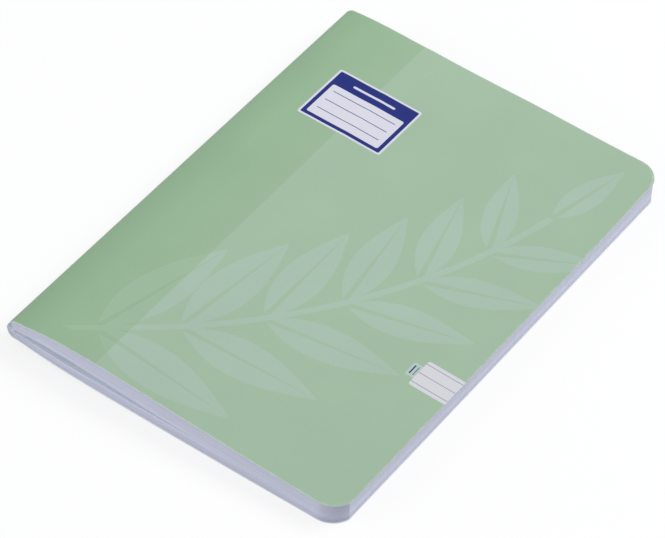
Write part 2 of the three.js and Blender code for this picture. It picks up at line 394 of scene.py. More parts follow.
class Nodes:
    """Short calls that add nodes to one material or node group."""

    def __init__(self, tree):
        self.tree = tree

    def link(self, value, socket):
        if isinstance(value, bpy.types.NodeSocket):
            self.tree.links.new(value, socket)
        else:
            socket.default_value = value

    def add(self, kind, inputs=None, **settings):
        node = self.tree.nodes.new(kind)
        for key, value in settings.items():
            setattr(node, key, value)
        for key, value in (inputs or {}).items():
            if value is not None:
                self.link(value, node.inputs[key])
        return node

    def math(self, operation, a, b=None, c=None, clamp=False):
        inputs = {0: a, 1: b, 2: c}
        return self.add("ShaderNodeMath", inputs, operation=operation, use_clamp=clamp).outputs[0]

    def vector(self, operation, a, b=None, scale=None):
        inputs = {0: a, 1: b, "Scale": scale}
        node = self.add("ShaderNodeVectorMath", inputs, operation=operation)
        return node.outputs["Value" if operation in ("LENGTH", "DISTANCE") else "Vector"]

    def flat(self, vector):
        """The X and Y of a vector."""
        parts = self.add("ShaderNodeSeparateXYZ", {0: vector}).outputs
        return parts[0], parts[1]

    def joined(self, x, y):
        return self.add("ShaderNodeCombineXYZ", {"X": x, "Y": y}).outputs[0]

    def blend(self, amount, a, b, mode="MIX"):
        inputs = {"Factor": amount, "A": a, "B": b}
        node = self.add("ShaderNodeMix", inputs, data_type="RGBA", blend_type=mode)
        return node.outputs["Result"]

    def ramp(self, value, low, high, to_low=0.0, to_high=1.0):
        """A value stretched from between low and high to between two others, and held there."""
        inputs = {"Value": value, "From Min": low, "From Max": high,
                  "To Min": to_low, "To Max": to_high}
        return self.add("ShaderNodeMapRange", inputs, clamp=True).outputs["Result"]

    def noise(self, vector, scale=1.0, detail=2, roughness=0.5):
        inputs = {"Vector": vector, "Scale": scale, "Detail": detail, "Roughness": roughness}
        return self.add("ShaderNodeTexNoise", inputs).outputs["Fac"]

    def varied(self, vector, noise, to_low=0.0, to_high=1.0):
        """Noise given as (scale, detail, low, high), stretched to between two values."""
        scale, detail, low, high = noise
        return self.ramp(self.noise(vector, scale, detail), low, high, to_low, to_high)

    def group(self, tree, inputs):
        return self.add("ShaderNodeGroup", inputs, node_tree=tree).outputs[0]

    def seen_directly(self):
        """1 for what a camera, a mirror or a glass shows, 0 for light on other surfaces."""
        ray = self.add("ShaderNodeLightPath").outputs
        seen = self.math("MAXIMUM", ray["Is Camera Ray"], ray["Is Glossy Ray"])
        return self.math("MAXIMUM", seen, ray["Is Transmission Ray"])


def colour(red, green, blue):
    """A linear colour from an sRGB colour of 0 to 255."""
    def linear(part):
        part /= 255
        return part / 12.92 if part <= 0.04045 else ((part + 0.055) / 1.055) ** 2.4
    return (linear(red), linear(green), linear(blue), 1)


def new_material(name):
    material = bpy.data.materials.new(name)
    material.use_nodes = True
    shader = material.node_tree.nodes["Principled BSDF"]
    return material, Nodes(material.node_tree), shader


def book_place(n):
    """The point of the book, in millimetres, as the sizes above count it."""
    metres = n.add("ShaderNodeTexCoord").outputs["Object"]
    return n.vector("SUBTRACT", n.vector("SCALE", metres, scale=1 / MM), (SPINE_X, 0, 0))


# In the surfaces below, a noise is (scale per millimetre, detail, low, high), and a grain is
# (size in millimetres, strength, depth in metres)
GRAIN_DETAIL = 3


def dress(n, shader, where, base, roughness, grain, specular=None):
    """Colour, roughness, gloss and fine surface relief of a material."""
    n.link(base, shader.inputs["Base Color"])
    n.link(roughness, shader.inputs["Roughness"])
    if specular is not None:
        shader.inputs["Specular IOR Level"].default_value = specular
    size, strength, depth = grain
    height = n.noise(where, 1 / size, GRAIN_DETAIL)
    bump = n.add("ShaderNodeBump", {"Strength": strength, "Distance": depth, "Height": height})
    n.link(bump.outputs["Normal"], shader.inputs["Normal"])


# Print on the cover: two greens, parted along the spine by a border that leans a little
PRINT_SOFTNESS = 0.12
BAND_WIDTH_BOTTOM = 40.5
BAND_WIDTH_TOP = 38.3
BAND_PALES_START = 14
COVER_LIGHT = colour(158, 183, 157)
COVER_DARK = colour(145, 176, 142)
COVER_DARK_PALED = colour(150, 177, 147)
ART_LIGHT = colour(164, 187, 168)
ART_DARK = colour(153, 181, 152)
NAVY = colour(18, 34, 112)

# A tall plant in paler greens, which starts at the foot of the cover and leans to the right.
# Its stem is an arc. Its leaflets get shorter from the first half length to the second. The
# stalk is how many half lengths a leaflet's centre is off the stem, and its vein thins out
# towards its tip.
STEM_CENTRE = (-128, 118)
STEM_RADIUS = 262
STEM_HALF_WIDTH = 1.3
STEM_START = math.radians(-53)
STEM_END = math.radians(-13)
STEM_FOOT = -97
STEM_NODES = 7
LEAFLET_ANGLE = math.radians(40)
LEAFLET_HALF_LENGTHS = (31, 19)
LEAFLET_STALK = 1.03
LEAFLET_SLIMNESS = 0.3
LEAFLET_LEAN = 0.28
VEIN_HALF_WIDTH = 0.55
VEIN_TAPER = 1.05

# Name label near the top end, with a panel to write on and a bar over it. The panel is as
# high as PANEL_PITCHES of its writing lines, and the first line lies FIRST_LINE of them up.
LABEL_LOW, LABEL_HIGH = (20.1, 45.0), (58.5, 74.2)
LABEL_WHITE = colour(212, 212, 221)
LABEL_BORDER = 0.9
LABEL_CORNER = 1.0
FIELD_CORNER = 0.6
PANEL_MARGIN = 2.6
PANEL_DROP = 8.6
PANEL_CORNER = 0.8
PANEL_PITCHES = 3.35
LINE_COUNT = 3
FIRST_LINE = 0.75
LINE_MARGIN = 2.2
LINE_HALF_WIDTH = 0.17
BAR_MARGIN = 9.5
BAR_DROP = 5.0
BAR_HALF_WIDTH = 0.55
BAR_CORNER = 0.5

# Sample of the ruling at the fore edge, and the small tab beside it. Each bar on the tab is
# (distance, half width).
WINDOW_LOW, WINDOW_HIGH = (132.0, -40.6), (152, -27.1)
WINDOW_WHITE = colour(210, 210, 213)
WINDOW_LINE = colour(118, 119, 150)
WINDOW_CORNER = 1.0
WINDOW_LINES = (-38.8, -33.8, -28.8)
WINDOW_LINE_HALF_WIDTH = 0.13
TAB_LOW, TAB_HIGH = (128.2, -37.5), (132.8, -30.7)
TAB_GREEN = colour(176, 196, 186)
TAB_CORNER = 0.6
TAB_BARS = ((129.5, 0.28), (131.0, 0.14))
TAB_BAR_MARGIN = 1.2


def new_group(name, inputs):
    tree = bpy.data.node_groups.new(name, "ShaderNodeTree")
    for key, kind in inputs.items():
        tree.interface.new_socket(key, in_out="INPUT", socket_type=kind)
    tree.interface.new_socket("Mask", in_out="OUTPUT", socket_type="NodeSocketFloat")
    return tree, Nodes(tree)


def rounded_box_group():
    """1 inside a rounded rectangle that lies flat, 0 outside."""
    tree, n = new_group("rounded_box", {
        "Place": "NodeSocketVector", "Centre": "NodeSocketVector",
        "Half": "NodeSocketVector", "Radius": "NodeSocketFloat", "Soft": "NodeSocketFloat"})
    given = n.add("NodeGroupInput").outputs
    away = n.vector("ABSOLUTE", n.vector("SUBTRACT", given["Place"], given["Centre"]))
    corner = n.joined(given["Radius"], given["Radius"])
    x, y = n.flat(n.vector("SUBTRACT", away, n.vector("SUBTRACT", given["Half"], corner)))
    outside = n.joined(n.math("MAXIMUM", x, 0.0), n.math("MAXIMUM", y, 0.0))
    deep = n.math("MINIMUM", n.math("MAXIMUM", x, y), 0.0)
    reach = n.math("ADD", n.vector("LENGTH", outside), deep)
    gap = n.math("SUBTRACT", reach, given["Radius"])
    mask = n.math("SUBTRACT", 0.5, n.math("DIVIDE", gap, given["Soft"]), clamp=True)
    n.add("NodeGroupOutput", {"Mask": mask})
    return tree


def soft_step(n, gap):
    """From 0 to 1 across the softness of the print, halfway where the gap is 0."""
    return n.math("ADD", n.math("DIVIDE", gap, PRINT_SOFTNESS), 0.5, clamp=True)


def leaflet_group():
    """1 inside a pointed leaflet with a bare vein along its middle, 0 outside."""
    tree, n = new_group("leaflet", {
        "Place": "NodeSocketVector", "Centre": "NodeSocketVector", "Turn": "NodeSocketFloat",
        "Half length": "NodeSocketFloat", "Half width": "NodeSocketFloat"})
    given = n.add("NodeGroupInput").outputs
    local = n.add("ShaderNodeVectorRotate", {
        "Vector": given["Place"], "Center": given["Centre"],
        "Angle": n.math("MULTIPLY", given["Turn"], -1.0)}, rotation_type="Z_AXIS").outputs[0]
    x, y = n.flat(n.vector("SUBTRACT", local, given["Centre"]))
    along = n.math("DIVIDE", x, given["Half length"])
    swell = n.math("SUBTRACT", 1.0, n.math("MULTIPLY", along, along))
    lean = n.math("SUBTRACT", 1.0, n.math("MULTIPLY", along, LEAFLET_LEAN))
    lean = n.math("MAXIMUM", lean, 0.0)
    limit = n.math("MULTIPLY", n.math("MULTIPLY", swell, lean), given["Half width"])
    vein = n.math("MULTIPLY", n.math("SUBTRACT", VEIN_TAPER, along), VEIN_HALF_WIDTH)
    aside = n.math("ABSOLUTE", y)
    inside = soft_step(n, n.math("SUBTRACT", limit, aside))
    off_vein = soft_step(n, n.math("SUBTRACT", aside, vein))
    n.add("NodeGroupOutput", {"Mask": n.math("MULTIPLY", inside, off_vein)})
    return tree


ROUNDED_BOX = rounded_box_group()
LEAFLET = leaflet_group()


def box_mask(n, where, low, high, radius=0.0, margin=0.0, soft=PRINT_SOFTNESS):
    """A rounded rectangle on the cover between two corners, drawn in by a margin."""
    centre = ((low[0] + high[0]) / 2, (low[1] + high[1]) / 2, 0)
    half = ((high[0] - low[0]) / 2 - margin, (high[1] - low[1]) / 2 - margin, 0)
    return n.group(ROUNDED_BOX, {
        "Place": where, "Centre": centre, "Half": half, "Radius": radius, "Soft": soft})


def line_mask(n, where, start, end, y, half_width, radius=0.0):
    """A line across the cover between two distances from the spine."""
    return box_mask(n, where, (start, y - half_width), (end, y + half_width), radius)


def plant_mask(n, where):
    """The union of the stem and its leaflets, in pairs along it and a single one at its tip."""
    flat = n.vector("MULTIPLY", where, (1, 1, 0))
    from_centre = n.vector("DISTANCE", flat, (*STEM_CENTRE, 0))
    aside = n.math("ABSOLUTE", n.math("SUBTRACT", from_centre, STEM_RADIUS))
    stem = n.math("LESS_THAN", aside, STEM_HALF_WIDTH)
    y = n.flat(flat)[1]
    tip_y = STEM_CENTRE[1] + STEM_RADIUS * math.sin(STEM_END)
    mask = n.math("MULTIPLY", stem, n.math("LESS_THAN", y, tip_y))
    mask = n.math("MULTIPLY", mask, n.math("GREATER_THAN", y, STEM_FOOT))

    for step in range(STEM_NODES):
        amount = step / (STEM_NODES - 1)
        turn = mix(STEM_START, STEM_END, amount)
        base_x = STEM_CENTRE[0] + STEM_RADIUS * math.cos(turn)
        base_y = STEM_CENTRE[1] + STEM_RADIUS * math.sin(turn)
        heading = turn + math.pi / 2
        half_length = mix(*LEAFLET_HALF_LENGTHS, amount)
        reach = half_length * LEAFLET_STALK
        sides = (0,) if step == STEM_NODES - 1 else (1, -1)
        for side in sides:
            angle = heading + side * LEAFLET_ANGLE
            centre = (base_x + math.cos(angle) * reach, base_y + math.sin(angle) * reach, 0)
            leaflet = n.group(LEAFLET, {
                "Place": flat, "Centre": centre, "Turn": angle,
                "Half length": half_length, "Half width": half_length * LEAFLET_SLIMNESS})
            mask = n.math("MAXIMUM", mask, leaflet)
    return mask


def cover_tones(n, where, with_plant):
    """Two greens side by side, parted along the spine, with the plant in paler ones."""
    x, y = n.flat(where)
    border = n.ramp(y, -HALF_HEIGHT, HALF_HEIGHT, BAND_WIDTH_BOTTOM, BAND_WIDTH_TOP)
    outer = n.ramp(n.math("SUBTRACT", x, border), -PRINT_SOFTNESS, PRINT_SOFTNESS)
    paling = n.ramp(x, BAND_PALES_START, BAND_WIDTH_TOP)
    dark = n.blend(paling, COVER_DARK, COVER_DARK_PALED)
    base = n.blend(outer, dark, COVER_LIGHT)
    if not with_plant:
        return base
    art = n.blend(outer, ART_DARK, ART_LIGHT)
    return n.blend(plant_mask(n, where), base, art)


def label_colours(n, where, base):
    """A plain name label: a navy field in a white border, with a white panel to write on."""
    low, high = LABEL_LOW, LABEL_HIGH
    base = n.blend(box_mask(n, where, low, high, LABEL_CORNER), base, LABEL_WHITE)
    field = box_mask(n, where, low, high, FIELD_CORNER, LABEL_BORDER)
    base = n.blend(field, base, NAVY)
    panel_low = (low[0] + PANEL_MARGIN, low[1] + PANEL_MARGIN)
    panel_high = (high[0] - PANEL_MARGIN, high[1] - PANEL_DROP)
    panel = box_mask(n, where, panel_low, panel_high, PANEL_CORNER)
    base = n.blend(panel, base, LABEL_WHITE)
    start, end = panel_low[0] + LINE_MARGIN, panel_high[0] - LINE_MARGIN
    for line in range(LINE_COUNT):
        y = mix(panel_low[1], panel_high[1], (line + FIRST_LINE) / PANEL_PITCHES)
        base = n.blend(line_mask(n, where, start, end, y, LINE_HALF_WIDTH), base, NAVY)
    bar = line_mask(n, where, low[0] + BAR_MARGIN, high[0] - BAR_MARGIN, high[1] - BAR_DROP,
                    BAR_HALF_WIDTH, BAR_CORNER)
    return n.blend(bar, base, LABEL_WHITE)


def window_colours(n, where, base):
    """The sample of the ruling at the fore edge, and the small tab beside it."""
    tab = box_mask(n, where, TAB_LOW, TAB_HIGH, TAB_CORNER)
    base = n.blend(tab, base, TAB_GREEN)
    bar_low, bar_high = TAB_LOW[1] + TAB_BAR_MARGIN, TAB_HIGH[1] - TAB_BAR_MARGIN
    for x, half_width in TAB_BARS:
        bar = box_mask(n, where, (x - half_width, bar_low), (x + half_width, bar_high))
        base = n.blend(bar, base, NAVY)
    window = box_mask(n, where, WINDOW_LOW, WINDOW_HIGH, WINDOW_CORNER)
    base = n.blend(window, base, WINDOW_WHITE)
    for y in WINDOW_LINES:
        line = line_mask(n, where, WINDOW_LOW[0], WINDOW_HIGH[0], y, WINDOW_LINE_HALF_WIDTH)
        base = n.blend(line, base, WINDOW_LINE)
    return base


# Finish of the print. Painted shade darkens it a little along the spine, most of all near the
# bottom end, painted light makes it a little paler towards the top end of the spine, and it is
# rubbed pale along the outline of the cover. That outline starts well past the spine, which
# isn't rubbed.
SPINE_PAINTED_SHADE_BOTTOM = 0.83
SPINE_PAINTED_SHADE_TOP = 0.9
SPINE_PAINTED_SHADE_END = 16
TOP_PAINTED_LIGHT = 0.06
PRINT_CLOUD = (0.03, 2, 0.3, 0.7)
PRINT_CLOUD_TONES = (0.975, 1.02)
PRINT_FLECK = (2.2, 2, 0.35, 0.65)
PRINT_FLECK_TONES = (0.985, 1.015)
PRINT_SHEEN = (0.8, 3, 0.3, 0.7)
PRINT_ROUGHNESS = (0.5, 0.6)
PRINT_SPECULAR = 0.25
PRINT_GRAIN = (0.35, 0.12, 0.00003)
RUB = (0.35, 4, 0.42, 0.7)
RUB_AMOUNTS = (0.03, 0.3)
RUB_INSET = 0.35
RUB_SOFTNESS = 0.7
RUB_COLOUR = colour(226, 232, 224)
RUB_OUTLINE_START = -30


def card_finish(n, shader, where, base):
    """Matte printed card: faint cloudiness, fine grain, a little wear at its outline, painted
    shade along the spine and painted light towards the top end.
    """
    x, y = n.flat(where)
    cloud = n.varied(where, PRINT_CLOUD, *PRINT_CLOUD_TONES)
    fleck = n.varied(where, PRINT_FLECK, *PRINT_FLECK_TONES)
    # Painted shade along the spine, deepest near the bottom end, and painted light that pales the
    # print towards the top end of the spine.
    spine_shade = n.ramp(y, -HALF_HEIGHT, HALF_HEIGHT, SPINE_PAINTED_SHADE_BOTTOM, SPINE_PAINTED_SHADE_TOP)
    spine_painted_shade = n.ramp(x, 0, SPINE_PAINTED_SHADE_END, spine_shade, 1.0)
    upwards = n.ramp(y, -HALF_HEIGHT, HALF_HEIGHT, 0.0, TOP_PAINTED_LIGHT)
    painted_light_top = n.math("MULTIPLY_ADD", upwards, n.ramp(x, 0, BOOK_WIDTH, 1.0, 0.0), 1.0)
    # The tone holds the random cloud and fleck together with the painted shade and the painted
    # light.
    tone = n.math("MULTIPLY", n.math("MULTIPLY", cloud, fleck), n.math("MULTIPLY", spine_painted_shade, painted_light_top))
    grey = n.add("ShaderNodeCombineColor", {0: tone, 1: tone, 2: tone}).outputs[0]
    toned_with_painted_light = n.blend(1.0, base, grey, "MULTIPLY")
    low, high = (RUB_OUTLINE_START, -HALF_HEIGHT), (BOOK_WIDTH, HALF_HEIGHT)
    outline = box_mask(n, where, low, high, CORNER_RADIUS, RUB_INSET, RUB_SOFTNESS)
    rub = n.varied(where, RUB, *RUB_AMOUNTS)
    worn = n.math("MULTIPLY", n.math("SUBTRACT", 1.0, outline), rub)
    roughness = n.varied(where, PRINT_SHEEN, *PRINT_ROUGHNESS)
    rubbed = n.blend(worn, toned_with_painted_light, RUB_COLOUR)
    dress(n, shader, where, rubbed, roughness, PRINT_GRAIN, PRINT_SPECULAR)


def front_print():
    material, n, shader = new_material("front_cover_print")
    where = book_place(n)
    base = cover_tones(n, where, True)
    base = label_colours(n, where, base)
    base = window_colours(n, where, base)
    card_finish(n, shader, where, base)
    return material


def back_print():
    material, n, shader = new_material("back_cover_print")
    where = book_place(n)
    card_finish(n, shader, where, cover_tones(n, where, False))
    return material


INSIDE_FIBRE = (0.9, 4, 0.3, 0.7)
INSIDE_COLOURS = (colour(229, 231, 233), colour(234, 235, 237))
INSIDE_ROUGHNESS = 0.75
INSIDE_GRAIN = (0.3, 0.12, 0.00004)


def card_inside():
    """Bare white card."""
    material, n, shader = new_material("card_inside")
    where = book_place(n)
    base = n.blend(n.varied(where, INSIDE_FIBRE), *INSIDE_COLOURS)
    dress(n, shader, where, base, INSIDE_ROUGHNESS, INSIDE_GRAIN)
    return material


CARD_EDGE_FIBRE = (1.2, 3, 0.35, 0.65)
CARD_EDGE_COLOURS = (colour(196, 206, 206), colour(214, 220, 222))
CARD_EDGE_ROUGHNESS = 0.85
CARD_EDGE_GRAIN = (0.15, 0.3, 0.00004)


def card_edge():
    """Cut edge of the card, a pale grey with a trace of green."""
    material, n, shader = new_material("card_cut_edge")
    where = book_place(n)
    base = n.blend(n.varied(where, CARD_EDGE_FIBRE), *CARD_EDGE_COLOURS)
    dress(n, shader, where, base, CARD_EDGE_ROUGHNESS, CARD_EDGE_GRAIN)
    return material


# Ruling of the pages. A line fades out between its two half widths. The shift is a whole
# number of pitches and keeps all places along the book above 0.
RULING_PITCH = 5.0
RULING_SHIFT = 1000.0
RULING_HALF_WIDTHS = (0.1, 0.22)
RULING_MARGIN = 14
RULING_COLOUR = colour(160, 164, 205)
PAGE_FIBRE_SCALE = 1.6
PAGE_FIBRE_DETAIL = 5
PAGE_FIBRE_ROUGHNESS = 0.6
PAGE_FIBRE_RANGE = (0.3, 0.7)
PAGE_COLOURS = (colour(230, 235, 246), colour(236, 240, 249))
PAGE_ROUGHNESS = 0.9
PAGE_SPECULAR = 0.25
PAGE_GRAIN = (0.25, 0.25, 0.00003)


def ruled_page():
    """White writing paper with pale ruling across it."""
    material, n, shader = new_material("ruled_page")
    where = book_place(n)
    fibre = n.noise(where, PAGE_FIBRE_SCALE, PAGE_FIBRE_DETAIL, PAGE_FIBRE_ROUGHNESS)
    paper = n.blend(n.ramp(fibre, *PAGE_FIBRE_RANGE), *PAGE_COLOURS)
    y = n.flat(where)[1]
    phase = n.math("PINGPONG", n.math("ADD", y, RULING_SHIFT), RULING_PITCH / 2)
    rule = n.math("SUBTRACT", 1.0, n.ramp(phase, *RULING_HALF_WIDTHS))
    ruled = n.math("LESS_THAN", n.math("ABSOLUTE", y), HALF_HEIGHT - RULING_MARGIN)
    base = n.blend(n.math("MULTIPLY", rule, ruled), paper, RULING_COLOUR)
    dress(n, shader, where, base, PAGE_ROUGHNESS, PAGE_GRAIN, PAGE_SPECULAR)
    return material


# Cut edges of the pages, in sRGB parts and in tones that change from leaf to leaf. The round
# cut of the corners is painted a little darker than the straight ones, as painted shade.
FRONT_EDGE = (208, 211, 226)
BACK_EDGE = (207, 209, 226)
EDGE_TONES = (0.93, 0.97, 1.0, 1.03)
EDGE_TONE_CHANGE = 0.45
STREAK_STRETCH = (0.06, 0.06, 3.0)
STREAK = (1.0, 3, 0.35, 0.65)
STREAK_TONE = 0.96
CORNER_PAINTED_SHADE = (0.88, 0.88, 0.9, 1)
CORNER_PAINTED_SHADE_RISE = 2.5
EDGE_ROUGHNESS = 0.95
EDGE_SPECULAR = 0.2
EDGE_GRAIN = (0.12, 0.3, 0.00003)


def page_edge(name, parts, tone):
    """Cut paper edges in one tone, with fine streaks along the leaves and painted shade on the
    round cut of the corners.
    """
    material, n, shader = new_material(name)
    where = book_place(n)
    light = colour(*(part * tone for part in parts))
    dark = colour(*(part * tone * STREAK_TONE for part in parts))
    streaks = n.varied(n.vector("MULTIPLY", where, STREAK_STRETCH), STREAK)
    straight = n.blend(streaks, dark, light)
    x, y = n.flat(where)
    # Painted shade on the round cut of the corners, which rises in just past where the round
    # starts.
    corner_start = PAPER_REACH - CORNER_LENGTH
    past_start = n.ramp(x, corner_start, corner_start + CORNER_PAINTED_SHADE_RISE)
    at_end = n.math("GREATER_THAN", n.math("ABSOLUTE", y), PAPER_HALF_HEIGHT - CORNER_DEPTH)
    rounded = n.blend(1.0, straight, CORNER_PAINTED_SHADE, "MULTIPLY")
    base = n.blend(n.math("MULTIPLY", past_start, at_end), straight, rounded)
    dress(n, shader, where, base, EDGE_ROUGHNESS, EDGE_GRAIN, EDGE_SPECULAR)
    return material


def page_edges(name, parts):
    """One material for each tone."""
    return [page_edge(f"{name}_{index + 1}", parts, tone) for index, tone in enumerate(EDGE_TONES)]


WIRE_STRETCH = (6.0, 0.6, 6.0)
WIRE_SCRATCH_DETAIL = 4
WIRE_SCRATCH_RANGE = (0.3, 0.7)
WIRE_COLOURS = (colour(172, 175, 180), colour(196, 198, 202))
WIRE_ROUGHNESS = (0.28, 0.42)
WIRE_GRAIN = (0.1, 0.2, 0.00002)


def staple_wire():
    """Drawn steel wire with fine scratches along it."""
    material, n, shader = new_material("staple_wire")
    where = book_place(n)
    stretched = n.vector("MULTIPLY", where, WIRE_STRETCH)
    scratch = n.noise(stretched, detail=WIRE_SCRATCH_DETAIL)
    base = n.blend(n.ramp(scratch, *WIRE_SCRATCH_RANGE), *WIRE_COLOURS)
    roughness = n.ramp(scratch, *WIRE_SCRATCH_RANGE, *WIRE_ROUGHNESS)
    shader.inputs["Metallic"].default_value = 1.0
    dress(n, shader, where, base, roughness, WIRE_GRAIN)
    return material


FRONT_PRINT = front_print()
BACK_PRINT = back_print()
CARD_INSIDE = card_inside()
CARD_EDGE = card_edge()
RULED_PAGE = ruled_page()
FRONT_EDGES = page_edges("front_page_edge", FRONT_EDGE)
BACK_EDGES = page_edges("back_page_edge", BACK_EDGE)
STAPLE_WIRE = staple_wire()


# Pieces of the book

def make_cover(name, node, half, reach, printed):
    def depths(length, x):
        return 0, COVER_THICKNESS

    cover = make_sheet(name, half, reach, HALF_HEIGHT, depths, (printed, CARD_INSIDE, CARD_EDGE))
    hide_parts(node)
    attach(cover, node)


make_cover("card_front", "front_cover", FRONT, BOOK_WIDTH, FRONT_PRINT)
make_cover("card_back", "back_cover", BACK, BACK_REACH, BACK_PRINT)


# Leaves. Past the fold a leaf fills most of its pitch, so that the page edges read as a block.
# A node's name holds the numbers of its leaves, such as leaf_07 or leaves_13_14.
FIRST_DEPTH = COVER_THICKNESS + COVER_CLEARANCE
PAGE_SWELL = 0.92
PAGE_SWELL_END = 14
NODE_OF_LEAF = {}
BODY_OF_LEAF = {}
for body, nodes in BODIES.items():
    for node in nodes:
        for number in (int(part) for part in node.split("_") if part.isdigit()):
            NODE_OF_LEAF[number] = node
            BODY_OF_LEAF[number] = body


def sheet_of(leaf):
    """0 for the outermost folded sheet, and one less than the count for the innermost."""
    return leaf - 1 if leaf <= SHEET_COUNT else LEAF_COUNT - leaf


def make_leaf(leaf, edge):
    """One leaf, which lies at some height within its own pitch."""
    half = FRONT if leaf <= SHEET_COUNT else BACK
    sheet = sheet_of(leaf)
    shift = random.uniform(0, 1)

    def depths(length, x):
        pitch = (length - FIRST_DEPTH) / SHEET_COUNT
        thickness = mix(PAPER_THICKNESS, pitch * PAGE_SWELL, share(x, FOLD_STACK, PAGE_SWELL_END))
        start = FIRST_DEPTH + sheet * pitch + (pitch - thickness) * shift
        return start, start + thickness

    piece = make_sheet(f"page_leaf_{leaf:02d}", half, PAPER_REACH, PAPER_HALF_HEIGHT, depths,
                       (RULED_PAGE, RULED_PAGE, edge))
    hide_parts(NODE_OF_LEAF[leaf])
    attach(piece, BODY_OF_LEAF[leaf])


def make_leaves():
    """All the leaves from the front cover down. Some share the edge tone of the one before."""
    edge_tone = 0
    for leaf in range(1, LEAF_COUNT + 1):
        if random.random() < EDGE_TONE_CHANGE:
            edge_tone = random.randrange(len(EDGE_TONES))
        make_leaf(leaf, (FRONT_EDGES if leaf <= SHEET_COUNT else BACK_EDGES)[edge_tone])


make_leaves()


# Strips in the fold. Each is folded flat in its own layer of the cut between the two halves,
# and all layers together fill most of the cut. The outer skin of a strip lies a share of its
# room above and below the middle of its layer, and the inner skin much closer to it. The
# points of its turn rise by shares of the inner skin's height. The turn lies just inside the
# outside of the spine, and deeper inside where the strip passes a staple.
LAYERS_SHARE = 0.9
OUTER_SKIN_SHARE = 0.4
STRIP_ROOM = FOLD_CUT * LAYERS_SHARE / len(JOINTS)
STRIP_OUTER_SKIN = STRIP_ROOM * OUTER_SKIN_SHARE
STRIP_INNER_SKIN = 0.0006
STRIP_TURN_RISES = (-0.35, 0, 0.35)
STRIP_CLEARANCE = 0.02
STRIP_TURN = 0.14
STRIP_TURN_AT_WIRE = WIRE_ROOM + STRIP_CLEARANCE


def fold_stops(end):
    """Places along the spine: one end, the two sides of each staple, and the other end."""
    reach = STAPLE_WIDTH / 2 + WIRE_ROOM
    sides = [centre + side * reach for centre in STAPLE_CENTRES for side in (-1, 1)]
    return [-end, *sides, end]


def leaves_of(body):
    return [leaf for leaf, owner in BODY_OF_LEAF.items() if owner == body]


def strip_end(leaves, is_parent):
    """How deep the strip reaches on one of its sides: to the leaf there, or into the card."""
    if not leaves:
        return STRIP_TURN_AT_WIRE + STRIP_CLEARANCE
    leaf = min(leaves) if is_parent else max(leaves)
    pitch = (FOLD_STACK - FIRST_DEPTH) / SHEET_COUNT
    return FIRST_DEPTH + sheet_of(leaf) * pitch + PAPER_THICKNESS


def strip_path(below, above, turn, skin):
    """(distance, rise) along one skin of a strip, from its lower side round to its upper one."""
    turn_x = turn + STRIP_INNER_SKIN - skin
    around = [(turn_x, STRIP_INNER_SKIN * rise) for rise in STRIP_TURN_RISES]
    return [(below, -skin), (turn_x, -skin), *around, (turn_x, skin), (above, skin)]


def strip_mesh(below, above, height):
    """Points and faces of a strip, with a closed stretch of it between each two stops.

    Every other stretch passes a staple."""
    points, faces = [], []
    stops = fold_stops(PAPER_HALF_HEIGHT)
    for index, (low, high) in enumerate(zip(stops, stops[1:])):
        turn = STRIP_TURN_AT_WIRE if index % 2 == 1 else STRIP_TURN
        first = len(points)
        for skin in (STRIP_OUTER_SKIN, STRIP_INNER_SKIN):
            path = strip_path(below, above, turn, skin)
            for x, rise in path:
                points += [place(x, low, height + rise), place(x, high, height + rise)]
        count = len(path)

        def quad(*corners):
            """A face between four corners, each of them (skin, step, end)."""
            faces.append(tuple(first + (skin * count + step) * 2 + end
                               for skin, step, end in corners))

        for step in range(count - 1):
            after = step + 1
            quad((0, step, 0), (0, step, 1), (0, after, 1), (0, after, 0))
            quad((1, step, 1), (1, step, 0), (1, after, 0), (1, after, 1))
            quad((0, step, 0), (0, after, 0), (1, after, 0), (1, step, 0))
            quad((0, step, 1), (1, step, 1), (1, after, 1), (0, after, 1))
        last = count - 1
        quad((0, 0, 0), (1, 0, 0), (1, 0, 1), (0, 0, 1))
        quad((0, last, 1), (1, last, 1), (1, last, 0), (0, last, 0))
    return points, faces


def make_fold_strip(index, joint):
    """Paper in the fold where the book opens at one joint, so that the fold never gapes."""
    parent, child = joint["parent"], joint["child"]
    below = strip_end(leaves_of(parent), True)
    above = strip_end(leaves_of(child), False)
    height = FOLD_HEIGHT + (index - (len(JOINTS) - 1) / 2) * STRIP_ROOM
    points, faces = strip_mesh(below, above, height)
    is_card = index in (0, len(JOINTS) - 1)
    skin = CARD_INSIDE if is_card else RULED_PAGE
    strip = new_object(f"fold_strip_{index + 1:02d}", points, faces, (skin,))
    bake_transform(strip)


for index, joint in enumerate(JOINTS):
    make_fold_strip(index, joint)


# Staples and the skin of the spine. A staple's points taper to a share of the wire.
WIRE_SIDES = 20
BEND_STEPS = 6
TAPER_LENGTH = 0.35
TAPERED_SHARE = 0.55
SPINE_SKIN_RADIUS = 0.085
SPINE_SKIN_SIDES = 12


def ring_points(centre, along, radius, sides):
    """Points round a centre, square to a direction in the plane of the fold."""
    up = Vector((0, 0, 1))
    aside = along.cross(up).normalized()
    return [centre + (aside * math.cos(turn) + up * math.sin(turn)) * radius
            for turn in (2 * math.pi * side / sides for side in range(sides))]


def make_tube(name, path, radius, sides, material, ends=1.0):
    """A closed tube along a path at one height, with its two ends scaled."""
    points, faces = [], []
    last = len(path) - 1
    for step, centre in enumerate(path):
        along = (path[min(step + 1, last)] - path[max(step - 1, 0)]).normalized()
        size = radius * (ends if step in (0, last) else 1.0)
        points += [place(*point) for point in ring_points(centre, along, size, sides)]
    for step in range(last):
        for side in range(sides):
            after = (side + 1) % sides
            here, there = step * sides, (step + 1) * sides
            faces.append((here + side, here + after, there + after, there + side))
    faces.append(tuple(range(sides))[::-1])
    faces.append(tuple(last * sides + side for side in range(sides)))
    return new_object(name, points, faces, (material,))


